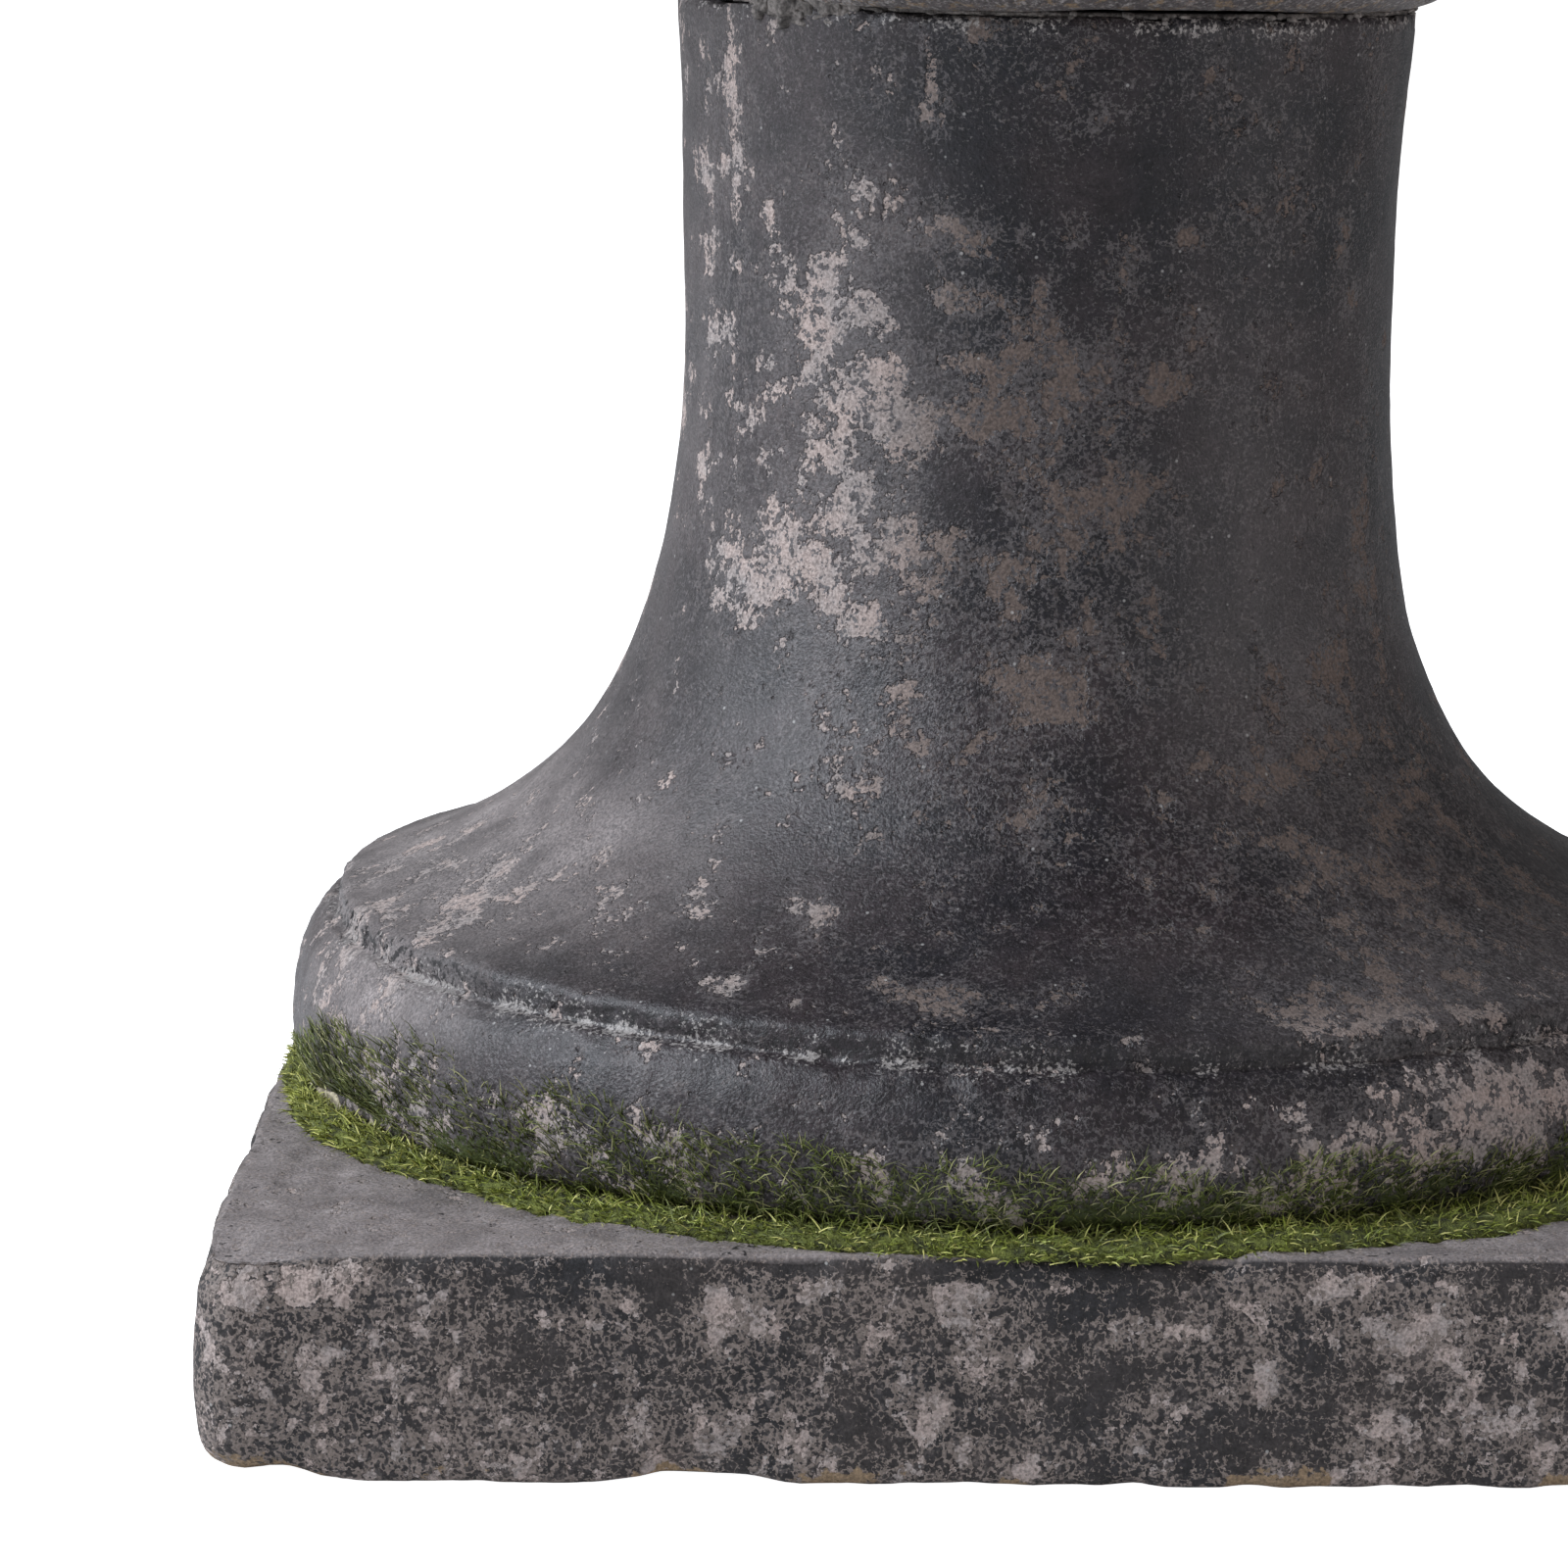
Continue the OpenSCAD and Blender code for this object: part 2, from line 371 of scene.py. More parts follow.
depth -= arris * 1.8 * MM * smooth(rough(grid, 22 * MM, 9), 0.0, 0.8)
depth -= heel * 2.2 * MM * smooth(rough(grid, 45 * MM, 13), -0.2, 0.7)
depth -= on_top * 0.7 * MM * smooth(noise(grid, 8 * MM, 17), 0.15, 0.5)
depth += on_top * 0.35 * MM * rough(grid, 16 * MM, 19, 3, 0.6)
depth *= np.maximum(on_side, on_top)
grid = grid + normal * depth[..., None]
worn_round = 1 - np.sqrt(1 - np.clip(1 - height / CORNER_WEAR, 0, 1) ** 2)
grid[..., :2] += (corner * worn_round * CORNER_WEAR)[..., None]
grid[..., 2] = np.maximum(grid[..., 2], 0)
plinth = ring_mesh("plinth_slab", grid)
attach(plinth, "stand")
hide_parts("plinth")

# The coat: a dark crust that has worn away in lobes and specks. Wear sets how much has gone.
# Where it is half gone it leaves a grey film, it cracks along thin crooked lines, and dark
# blots of it are left on the bare stone.
coat_tree, graph, given, result = new_group(
    "worn_coat", {"Place": None, "Wear": 0.3, "Lobe size": 0.009, "Speck weight": 0.8,
                  "Speck size": 0.0016, "Line width": 0.075}, ["Bare", "Film", "Fleck", "Height"])


def group_noise(graph, vector, size, detail, roughness):
    """Noise about zero, with a size that the group is given."""
    inputs = {"Vector": vector, "Scale": graph.math("DIVIDE", 1.0, size), "Detail": detail,
              "Roughness": roughness}
    return graph.math("SUBTRACT", graph.add("TexNoise", inputs).outputs[0], 0.5)


def weighed(graph, *terms):
    """The sum of pairs of a socket and the weight it has."""
    total = 0.0
    for value, weight in terms:
        total = graph.math("ADD", graph.math("MULTIPLY", value, weight), total)
    return total


speck = given["Speck size"]
lobes = group_noise(graph, given["Place"], given["Lobe size"], 5.0, 0.62)
specks = group_noise(graph, given["Place"], speck, 2.0, 0.6)
blots = group_noise(graph, given["Place"], graph.math("MULTIPLY", speck, 1.7), 3.0, 0.65)
fine = group_noise(graph, given["Place"], graph.math("MULTIPLY", speck, 0.55), 1.5, 0.55)
crooked = group_noise(graph, given["Place"], graph.math("MULTIPLY", speck, 1.6), 3.0, 0.6)
field = weighed(graph, (lobes, 3.0), (specks, given["Speck weight"]), (given["Wear"], 1.0))
half = weighed(graph, (lobes, 1.2), (blots, -1.6), (fine, 1.6), (given["Wear"], 1.0))
left_over = graph.step(weighed(graph, (blots, 1.0), (fine, 0.6)), 0.055, 0.085, 1.0, 0.0)
lines = weighed(graph, (given["Wear"], given["Line width"]), (lobes, 0.09), (fine, 0.10),
                (graph.math("ABSOLUTE", crooked), -1.0))
dots = weighed(graph, (given["Wear"], 0.35), (fine, 1.8))
graph.put(result["Bare"], graph.math("MULTIPLY", graph.step(field, 0.585, 0.605), left_over))
graph.put(result["Film"], graph.math("MULTIPLY", graph.step(half, 0.34, 0.46), left_over))
graph.put(result["Fleck"], graph.math("MAXIMUM", graph.step(lines, -0.010, 0.006),
                                      graph.step(dots, 0.27, 0.40)))
graph.put(result["Height"], graph.math("SUBTRACT", 1.0, graph.step(field, 0.45, 0.7)))

# What has settled on the stone breaks up into crumbs as it thins out.
crumbs_tree, graph, given, result = new_group(
    "crumbs", {"Place": None, "Amount": 0.0, "Crumb size": 0.0012}, ["Mask"])
broken = group_noise(graph, given["Place"], given["Crumb size"], 3.0, 0.65)
settled = weighed(graph, (given["Amount"], 1.0), (broken, 1.6))
graph.put(result["Mask"], graph.step(settled, 0.42, 0.56))

# The grain: sand in the concrete, as fine light and dark, with pits and pale grains.
grain_tree, graph, given, result = new_group(
    "sand_grain", {"Place": None, "Grain size": 0.0007, "Pit size": 0.004},
    ["Shade", "Pale", "Height"])
pit_scale = graph.math("DIVIDE", 1.0, given["Pit size"])
sand = group_noise(graph, given["Place"], given["Grain size"], 2.0, 0.6)
cells = graph.add("TexVoronoi", {"Vector": given["Place"], "Scale": pit_scale})
lucky = graph.add("SeparateColor", {"Color": cells.outputs["Color"]}).outputs[0]
near = cells.outputs["Distance"]
pits = graph.math("MULTIPLY", graph.step(near, 0.06, 0.14, 1, 0), graph.step(lucky, 0.80, 0.84))
pale = graph.math("MULTIPLY", graph.step(near, 0.06, 0.12, 1, 0), graph.step(lucky, 0.22, 0.20))
graph.put(result["Shade"], sand)
graph.put(result["Pale"], pale)
graph.put(result["Height"], graph.math("SUBTRACT", graph.math("MULTIPLY", sand, 0.5), pits))

# What lies on any of the stones: the pale dust of the veil, which on the pedestal's side towards the
# left lamp is also a painted highlight, and what settles in crumbs, each with the size of its
# crumbs.
PALE_DUST_AND_HIGHLIGHT = (0.268, 0.235, 0.230, 1)
SETTLED = [("ochre", 0.003, (0.225, 0.160, 0.100, 1)), ("soil", 0.0020, (0.018, 0.016, 0.017, 1)),
           ("green", 0.0012, (0.050, 0.062, 0.020, 1)), ("crumb", 0.0011, (0.27, 0.25, 0.24, 1))]
STONE_RELIEF = 0.9 * MM
STAIN_AND_SHADE_BROWN = (0.118, 0.091, 0.080, 1)
PALE_GRAIN = (0.40, 0.39, 0.38, 1)


def weathered_stone(name, coats, bares, fleck, film, lobe, speck, speck_weight, line, gloss):
    """Cast stone under a dark crust. coats and bares are pairs of colours that each drift
    between, fleck is the colour of the fine flecks, film how strong the grey film is, lobe
    and speck the sizes of what has worn away, speck_weight how ragged its edges are, line how
    wide the cracks in the crust are, and gloss the crust's roughness."""
    material, graph, shader, place = new_material(name)
    worn = use_group(graph, coat_tree, place=place, wear=graph.attribute("wear"), lobe_size=lobe,
                     speck_size=speck, speck_weight=speck_weight, line_width=line)
    grain = use_group(graph, grain_tree, place=place)
    drift = graph.step(graph.noise(place, 0.035, 4, 0.65), 0.35, 0.65)
    coat = graph.mix(drift, coats[0], coats[1])
    faded = graph.step(graph.noise(place, 0.012, 4, 0.65), 0.35, 0.65)
    bare = graph.mix(faded, bares[0], bares[1])
    mottle = graph.step(graph.noise(place, 0.0032, 5, 0.75), 0.36, 0.64)
    coat = graph.mix(mottle, coat, graph.mix(0.5, coat, (0, 0, 0, 1)))
    colour = graph.mix(graph.math("MULTIPLY", worn["Film"], film), coat, bare)
    # Pale dust; on the pedestal it is also a painted highlight on the side towards the lamp.
    colour = graph.mix(graph.attribute("dust_veil_and_painted_light"), colour, PALE_DUST_AND_HIGHLIGHT)
    colour = graph.mix(graph.math("MULTIPLY", worn["Fleck"], 0.68), colour, fleck)
    # Bare stone turns dark brown under the stain mask: partly a brown film, and partly painted shade
    # on the pedestal's front and right, away from the lamp, and at the dish's seat.
    stained_and_shaded = graph.mix(graph.attribute("stain_and_shade"), bare, STAIN_AND_SHADE_BROWN)
    colour = graph.mix(worn["Bare"], colour, stained_and_shaded)
    for label, size, tint in SETTLED:
        amount = graph.attribute(label)
        mask = use_group(graph, crumbs_tree, place=place, amount=amount, crumb_size=size)["Mask"]
        colour = graph.mix(mask, colour, tint)
    colour = graph.shaded(colour, graph.step(grain["Shade"], -0.25, 0.25, 0.6, 1.4))
    colour = graph.mix(graph.math("MULTIPLY", grain["Pale"], 0.6), colour, PALE_GRAIN)
    roughness = graph.step(worn["Bare"], 0.0, 1.0, gloss, 0.95)
    lift = weighed(graph, (grain["Height"], 0.6), (worn["Height"], 0.4))
    graph.surface(shader, colour, roughness, lift, STONE_RELIEF)
    graph.put(shader.inputs["Specular IOR Level"], 0.35)
    return material


def patches(across, up, spots):
    """How far each point lies inside a set of patches, 0 to 1. A patch is its place across
    and up, and its half width and half height, all in millimetres."""
    total = np.zeros(up.shape)
    for x, z, wide, tall in spots:
        far = ((across - x * MM) / (wide * MM)) ** 2 + ((up - z * MM) / (tall * MM)) ** 2
        total = np.maximum(total, np.exp(-far ** 1.6))
    return total


# Worn and dark patches of the front side, from its middle and its lower edge.
WORN_FRONT = [(-66, 37, 11, 6), (-48, 43, 9, 3), (-90, 40, 6, 3), (-154, 43, 12, 4),
              (-168, 42, 8, 5), (-20, 40, 14, 4), (-12, 28, 8, 8),
              (-68, 14, 6, 4), (-26, 16, 4, 10), (76, 33, 10, 8), (60, 44, 22, 4),
              (46, 24, 5, 4), (92, 16, 14, 5), (112, 36, 14, 6), (140, 22, 14, 8)]
DARK_FRONT = [(18, 41, 10, 7), (0, 20, 14, 9), (-95, 42, 26, 5), (-45, 18, 9, 10), (40, 12, 14, 7),
              (120, 30, 12, 10), (-108, 26, 14, 10)]
across = np.where(reach == np.abs(grid[..., 0]), grid[..., 1], grid[..., 0])
front = (grid[..., 1] < 10 * MM - plinth_half).astype(float)
flaky = front * smooth(grid[..., 0], -125 * MM, -75 * MM)
wear = 0.36 - 0.06 * flaky + 0.08 * (1 - smooth(height, 0, 20 * MM))
wear += (0.06 + 0.20 * flaky) * rough(grid, 15 * MM, 71, 3, 0.6)
wear -= 0.25 * arris * smooth(grid[..., 0], -145 * MM, -135 * MM)
wear += front * 0.05 * (1 - smooth(grid[..., 0], -120 * MM, -60 * MM))
wear += front * 0.38 * patches(across, height, WORN_FRONT)
wear -= front * 0.24 * patches(across, height, DARK_FRONT)
wear += (1 - front) * 0.5 * smooth(rough(grid, 24 * MM, 75, 2), 0.35, 0.8)
wear = wear * (1 - on_top) + on_top * 0.1
ochre = (1 - smooth(height, 1 * MM, 7 * MM)) * smooth(rough(grid, 30 * MM, 77, 2), 0.0, 0.4)
ochre = np.maximum(ochre, corner * (1 - smooth(height, 2 * MM, 9 * MM)))
store(plinth, "wear", wear)
store(plinth, "dust_veil_and_painted_light", on_top * (0.76 + 0.17 * rough(grid, 12 * MM, 73, 5, 0.7)))
store(plinth, "soil", on_top * (0.20 + 0.16 * rough(grid, 20 * MM, 79)))
for label in ("crumb", "green", "stain_and_shade"):
    store(plinth, label, 0.0 * wear)
store(plinth, "ochre", 0.72 * on_side * ochre)
CRUST = (0.022, 0.021, 0.024, 1)
CRUST_WARM = (0.046, 0.038, 0.037, 1)
PLINTH_FLECK = (0.238, 0.195, 0.174, 1)
CRUST_FLECK = (0.102, 0.092, 0.094, 1)
BARE_PINK = (0.345, 0.280, 0.257, 1)
BARE_GREY = (0.270, 0.238, 0.228, 1)
plinth.data.materials.append(weathered_stone(
    "plinth_stone", (CRUST, CRUST_WARM), (BARE_PINK, BARE_GREY), PLINTH_FLECK,
    film=0.13, lobe=0.0075, speck=0.0019, speck_weight=1.0, line=0.100, gloss=0.65))


# -----------------------------------------------
# Foot mortar. A thin bed of lime mortar under the pedestal. It has squeezed out at the left
# of the foot, where it shows as a pale line.
# -----------------------------------------------
LEAN = 0.0227
FOOT_SHIFT = -4.5 * MM
HEAD_SHIFT = 1.0 * MM
pedestal_low, pedestal_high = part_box("pedestal")
bed_z, head_z = pedestal_low.z, pedestal_high.z


def settle(grid):
    """Moves points of the turned pieces to where they stand: the foot is a little left of the
    middle, the shaft leans back over the middle, and the dish's stem takes that up."""
    x, y, z = np.moveaxis(grid, -1, 0)
    taken_up = 1 - smooth(z, head_z + 2 * MM, head_z + 40 * MM)
    rise = (np.clip(z, bed_z, head_z) - bed_z) / (head_z - bed_z)
    shift = (FOOT_SHIFT + (HEAD_SHIFT - FOOT_SHIFT) * rise) * taken_up
    lean = LEAN * smooth(z, bed_z, bed_z + 30 * MM) * taken_up
    return np.stack([x + shift, y, z - x * lean], -1)


def direction_of(points):
    """Each point's direction from the front, in degrees, positive to the right."""
    return np.degrees(np.arctan2(points[..., 0], -points[..., 1]))


def turned_rings(outline, columns):
    """Rings of points from an outline of (radius, height) pairs."""
    angle = np.arange(columns) / columns * 2 * math.pi
    circle = np.stack([np.cos(angle), np.sin(angle)], -1)
    flat = outline[:, None, :1] * circle
    return np.concatenate([flat, np.repeat(outline[:, None, 1:], columns, 1)], -1)


MORTAR_COLUMNS = 720
mortar_low, mortar_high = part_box("foot_mortar")
mortar_r = mortar_high.x
mortar_outline = np.array([
    (dowel_hole, mortar_low.z), (mortar_r - 8 * MM, mortar_low.z),
    (mortar_r - 0.6 * MM, mortar_low.z), (mortar_r + 0.6 * MM, mortar_low.z + 0.5 * MM),
    (mortar_r + 0.8 * MM, mortar_high.z - 0.8 * MM), (mortar_r - 0.3 * MM, mortar_high.z),
    (mortar_r - 8 * MM, mortar_high.z), (dowel_hole, mortar_high.z)])
grid = turned_rings(mortar_outline, MORTAR_COLUMNS)
edge = smooth(np.hypot(grid[..., 0], grid[..., 1]), mortar_r - 6 * MM, mortar_r)
turn = direction_of(grid)
squeezed = hump(turn, -63, 13)
squeezed *= smooth(grid[..., 2], mortar_low.z, mortar_high.z - 0.8 * MM)
grid[..., 2] += 5.5 * MM * squeezed * edge
grid[..., :2] *= (1 + squeezed * edge * 0.008)[..., None]
grid[..., :2] *= (1 + edge * 0.006 * rough(grid, 9 * MM, 21))[..., None]
grid = settle(grid)
grid = np.vstack([grid, grid[:1]])
bed = ring_mesh("mortar_bed", grid, (False, False))
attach(bed, "stand")
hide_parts("foot_mortar")


def lime_mortar(name, clean, dirt, dirtiness):
    """Sandy lime mortar: pale paste with darker grains in it, dirty in blotches."""
    material, graph, shader, place = new_material(name)
    grain = use_group(graph, grain_tree, place=place, grain_size=0.0009, pit_size=0.003)
    blotch = graph.step(graph.noise(place, 0.006, 4, 0.7), 0.62 - 0.3 * dirtiness, 0.70)
    paste = graph.mix(blotch, clean, dirt)
    colour = graph.shaded(paste, graph.step(grain["Shade"], -0.2, 0.2, 0.55, 1.3))
    graph.surface(shader, colour, 0.95, grain["Height"], STONE_RELIEF)
    return material


BED_PASTE = (0.42, 0.37, 0.26, 1)
BED_DIRT = (0.09, 0.075, 0.045, 1)
bed_mortar = lime_mortar("bed_mortar", BED_PASTE, BED_DIRT, dirtiness=0.8)
bed.data.materials.append(bed_mortar)


# -----------------------------------------------
# Dowel and its grout. A steel bar set in the same mortar, in holes drilled in plinth and
# pedestal. It shows nowhere once the two are together, and both keep their own meshes.
# -----------------------------------------------
BARE_STEEL = (0.16, 0.165, 0.175, 1)
RUST = (0.16, 0.062, 0.026, 1)

# The bar is plain round steel, blue-grey where it is clean and rusty in scabs.
bar_steel, graph, shader, place = new_material("bar_steel")
rust = graph.step(graph.noise(place, 0.006, 5, 0.7), 0.42, 0.58)
scabs = graph.noise(place, 0.0025, 3, 0.6)
roughness = graph.step(rust, 0.0, 1.0, 0.45, 0.9)
graph.surface(shader, graph.mix(rust, BARE_STEEL, RUST), roughness, scabs, 0.5 * MM)
graph.put(shader.inputs["Metallic"], graph.math("SUBTRACT", 1.0, rust))
for node, material in (("dowel_grout", bed_mortar), ("foot_dowel", bar_steel)):
    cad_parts[node].data.materials.clear()
    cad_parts[node].data.materials.append(material)


# -----------------------------------------------
# Pedestal. One casting: a rounded band at the foot, a ledge and a small step, then the bell
# drawn in to a waist, and a head with a socket in it for the dish. It is the most weathered
# piece: the dark coat is worn through to the pink-grey concrete in patches.
# -----------------------------------------------
def outline_of(node, start, reach):
    """The outline of a turned CAD node, as (radius, height) pairs, walked along its seam from
    the point nearest start until the next is further off than reach."""
    points = np.array([v.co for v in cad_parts[node].data.vertices])
    seam = points[(np.abs(points[:, 1]) < 1e-5) & (points[:, 0] > -1e-6)][:, ::2]
    seam = np.unique(np.round(seam, 6), axis=0)
    here = np.array(start)
    walked = []
    while len(seam):
        gaps = np.linalg.norm(seam - here, axis=1)
        nearest = gaps.argmin()
        if walked and gaps[nearest] > reach:
            break
        here = seam[nearest]
        walked.append(here)
        seam = np.delete(seam, nearest, 0)
    return np.array(walked)


def resampled(outline, spacing, blur):
    """The outline again, rounded over about blur, with points as far apart as spacing gives
    for each radius and height."""
    def run_of(points):
        return np.append(0, np.cumsum(np.linalg.norm(np.diff(points, axis=0), axis=1)))

    fine = 0.25 * MM
    run = run_of(outline)
    even = np.arange(0, run[-1], fine)
    dense = np.stack([np.interp(even, run, outline[:, k]) for k in (0, 1)], -1)
    half = int(3 * blur / fine)
    kernel = np.exp(-0.5 * (np.arange(-half, half + 1) * fine / blur) ** 2)
    padded = np.pad(dense, ((half, half), (0, 0)), mode="edge")
    soft = np.stack([np.convolve(padded[:, k], kernel / kernel.sum(), "valid") for k in (0, 1)], -1)
    soft[:, 0] = np.maximum(soft[:, 0], 0.5 * MM)
    weight = np.append(0, np.cumsum(fine / spacing(soft[:-1, 0], soft[:-1, 1])))
    rows = np.arange(int(weight[-1]) + 1) * weight[-1] / int(weight[-1])
    return np.stack([np.interp(rows, weight, soft[:, k]) for k in (0, 1)], -1)


LEDGE_Z = bed_z + 33 * MM
STEP_TOP_Z = LEDGE_Z + 5 * MM
pedestal_outline = outline_of("pedestal", (pedestal_high.x, bed_z), 60 * MM)


def pedestal_spacing(radius, height):
    """Rings stand wide apart where they are hidden, and close together round the step."""
    socket = (radius < 80 * MM) & (height > head_z - 60 * MM)
    underside = (height < bed_z + 1 * MM) & (radius < 165 * MM)
    near_ledge = np.abs(height - LEDGE_Z - 3 * MM) < 8 * MM
    return np.where(socket | underside, 8 * MM, np.where(near_ledge, 0.9 * MM, 2.2 * MM))


CASTING_COLUMNS = 660
grid = turned_rings(resampled(pedestal_outline, pedestal_spacing, 0.9 * MM), CASTING_COLUMNS)
normal = grid_normals(grid)
height = grid[..., 2]
radius = np.hypot(grid[..., 0], grid[..., 1])
in_socket = smooth(height, head_z - 60 * MM, head_z - 50 * MM)
seen = 1 - (1 - smooth(radius, 70 * MM, 78 * MM)) * in_socket
band = 1 - smooth(height, LEDGE_Z - 2 * MM, LEDGE_Z + 1 * MM)
crease = smooth(height, LEDGE_Z - 1 * MM, LEDGE_Z + 1 * MM)
crease *= 1 - smooth(height, STEP_TOP_Z, STEP_TOP_Z + 3 * MM)
lip = smooth(height, LEDGE_Z - 6 * MM, LEDGE_Z - 1 * MM)
lip *= 1 - smooth(height, LEDGE_Z, LEDGE_Z + 2 * MM)
brim = smooth(height, head_z - 5 * MM, head_z - 0.5 * MM)
depth = 0.7 * MM * rough(grid, 75 * MM, 31) + 0.10 * MM * rough(grid, 8 * MM, 35, 3, 0.6)
depth += (0.28 * band + 0.55 * crease) * MM * rough(grid, 5 * MM, 41, 3, 0.7)
depth -= lip * 0.9 * MM * smooth(rough(grid, 30 * MM, 47, 5, 0.65), -0.1, 0.9)
depth -= brim * 1.1 * MM * smooth(rough(grid, 9 * MM, 53), 0.0, 0.7)
grid = grid + normal * (depth * seen)[..., None]
pedestal = ring_mesh("pedestal_casting", settle(grid))
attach(pedestal, "stand")
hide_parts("pedestal")


def turned_patches(grid, spots):
    """Patches on a turned piece. Each gives its direction from the front in degrees, its
    height over the bed, and its half width and half height, in millimetres."""
    radius = np.maximum(np.hypot(grid[..., 0], grid[..., 1]), 75 * MM)
    angle = np.arctan2(grid[..., 0], -grid[..., 1])
    total = np.zeros(radius.shape)
    for direction, up, wide, tall in spots:
        off = (angle - math.radians(direction) + math.pi) % (2 * math.pi) - math.pi
        spot = patches(off * radius, grid[..., 2] - bed_z, [(0, up, wide, tall)])
        total = np.maximum(total, spot)
    return total


# Where the shaft's coat has worn through, and where it has lasted. The last ones of the worn
# patches are strewn over the back.
WORN_SHAFT = [(-33, 201, 6, 14), (-36, 178, 10, 16), (-30, 166, 13, 11), (-17, 200, 13, 4),
              (-13, 186, 10, 4), (0, 171, 13, 10), (-20, 159, 19, 6), (-8, 160, 12, 4),
              (-30, 142, 14, 16), (-41, 128, 15, 11), (-20, 131, 13, 6), (4, 139, 13, 8),
              (-7, 128, 9, 4), (-52, 120, 14, 11), (12, 195, 3, 8), (20, 200, 5, 3),
              (24, 181, 5, 6), (18, 167, 5, 3), (4, 203, 3, 4), (-1, 188, 3, 3), (13, 146, 5, 6),
              (53, 198, 4, 8), (57, 184, 5, 5),
              (-19, 224, 5, 3), (6, 225, 4, 4), (35, 224, 4, 3), (-58, 230, 4, 12),
              (-29, 115, 12, 6), (0, 102, 10, 9), (60, 126, 6, 15), (31, 85, 5, 6),
              (47, 104, 5, 6), (0, 73, 5, 8), (35, 66, 4, 4), (-22, 54, 4, 4), (-8, 45, 8, 3),
              (-26, 43, 5, 3), (28, 42, 24, 5), (37, 23, 16, 7), (-30, 31, 5, 4),
              (-58, 26, 6, 8), (-59, 18, 5, 6), (-71, 28, 10, 9), (20, 15, 5, 6),
              (-68, 52, 7, 3), (-61, 46, 7, 3), (-45, 118, 16, 9),
              (-59, 42, 8, 3), (-39, 70, 4, 4), (-36, 55, 7, 4), (-45, 45, 5, 3), (-85, 35, 6, 4)]
BACK_PATCHES = 46
for k in range(BACK_PATCHES):
    WORN_SHAFT.append((rng.uniform(80, 280), rng.uniform(10, 235),
                       rng.uniform(4, 14), rng.uniform(4, 12)))
DARK_SHAFT = [(-13, 146, 8, 12), (-10, 215, 20, 8), (12, 212, 16, 12), (-6, 193, 8, 5),
              (22, 155, 10, 10), (-20, 185, 5, 6)]
WORN_FIELDS = [(-28, 160, 42, 52), (-10, 110, 50, 30), (8, 155, 30, 25), (-62, 190, 14, 60),
               (40, 22, 70, 13), (45, 60, 60, 40), (-72, 45, 62, 16)]
WORN_RIGHT = [(38, 23, 60, 13)]
DUST_AND_HIGHLIGHT_PATCHES = [(-85, 52, 100, 20), (-62, 28, 40, 10)]
VEILS = [(30, 44, 80, 12), (40, 110, 40, 60), (-30, 160, 22, 60)]
SOOT = (0.010, 0.010, 0.014, 1)
SOOT_WARM = (0.031, 0.023, 0.026, 1)
angle = direction_of(grid)
low = 1 - smooth(height, bed_z + 13 * MM, bed_z + 28 * MM)
streaks = rough(grid * [1, 1, 0.2], 2.4 * MM, 79, 3) * hump(angle, -60, 14)
wear = 0.16 + 0.12 * rough(grid, 28 * MM, 81) + 0.28 * low
wear += 0.43 * turned_patches(grid, WORN_SHAFT) + 0.26 * turned_patches(grid, WORN_FIELDS)
wear += 0.16 * turned_patches(grid, WORN_RIGHT)
wear += 0.26 * streaks - 0.32 * turned_patches(grid, DARK_SHAFT)
store(pedestal, "wear", wear)
lit_side = hump(angle, -75, 38)
# Painted highlight: the pale veil is real dust in patches, and it is raised on the bell's left and
# over the whole side towards the left lamp, to make that side lighter.
dust_veil_and_painted_light = 0.12 * turned_patches(grid, VEILS) + 0.70 * turned_patches(grid, DUST_AND_HIGHLIGHT_PATCHES) + 0.20 * lit_side
store(pedestal, "dust_veil_and_painted_light", dust_veil_and_painted_light * (0.85 + 0.35 * rough(grid, 18 * MM, 83, 5, 0.65)))
store(pedestal, "ochre", 0.0 * wear)
# Painted shade, partly a brown film as well: bare patches on the shaft's front and right, away from
# the left lamp, are darkened to brown.
front_stain_and_shade = smooth(angle, -32, -8) * (1 - smooth(angle, 70, 110))
store(pedestal, "stain_and_shade", front_stain_and_shade * smooth(height, bed_z + 32 * MM, bed_z + 46 * MM))
patchy = 0.45 + 0.55 * smooth(rough(grid, 14 * MM, 85), -0.5, 0.6)
to_left = 0.75 + 0.25 * hump(angle, -45, 30)
under_seat = smooth(height, head_z - 9 * MM, head_z - 1 * MM)
crumbly = (0.34 * lip + 0.42 * crease) * to_left + 0.50 * under_seat
store(pedestal, "crumb", crumbly * patchy)
store(pedestal, "soil", 0.44 * crease + 0.3 * brim)
damp = 1 - smooth(height, bed_z + 2 * MM, bed_z + 16 * MM + 5 * MM * lit_side)
store(pedestal, "green", 0.72 * damp * smooth(rough(grid, 12 * MM, 89), -0.8, 0.2))
pedestal.data.materials.append(weathered_stone(
    "pedestal_stone", (SOOT, SOOT_WARM), (BARE_PINK, BARE_GREY), CRUST_FLECK,
    film=0.12, lobe=0.010, speck=0.0016, speck_weight=1.05, line=0.08, gloss=0.45))


# -----------------------------------------------
# Seat dabs. Three dabs of mortar on the pedestal's head that level the dish. The one at the
# front left was too big: it squeezed out of the joint, set there, and has since been chipped.
# -----------------------------------------------
dabs_low, dabs_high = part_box("seat_dabs")
DAB_DIRECTIONS = (-41, 79, 199)
DAB_RING = 60.35 * MM
DAB_HALF = 15.5 * MM
JOINT_R = 84 * MM
SEAT_CRUMBS = 60
BEAD_COLUMNS = 1200


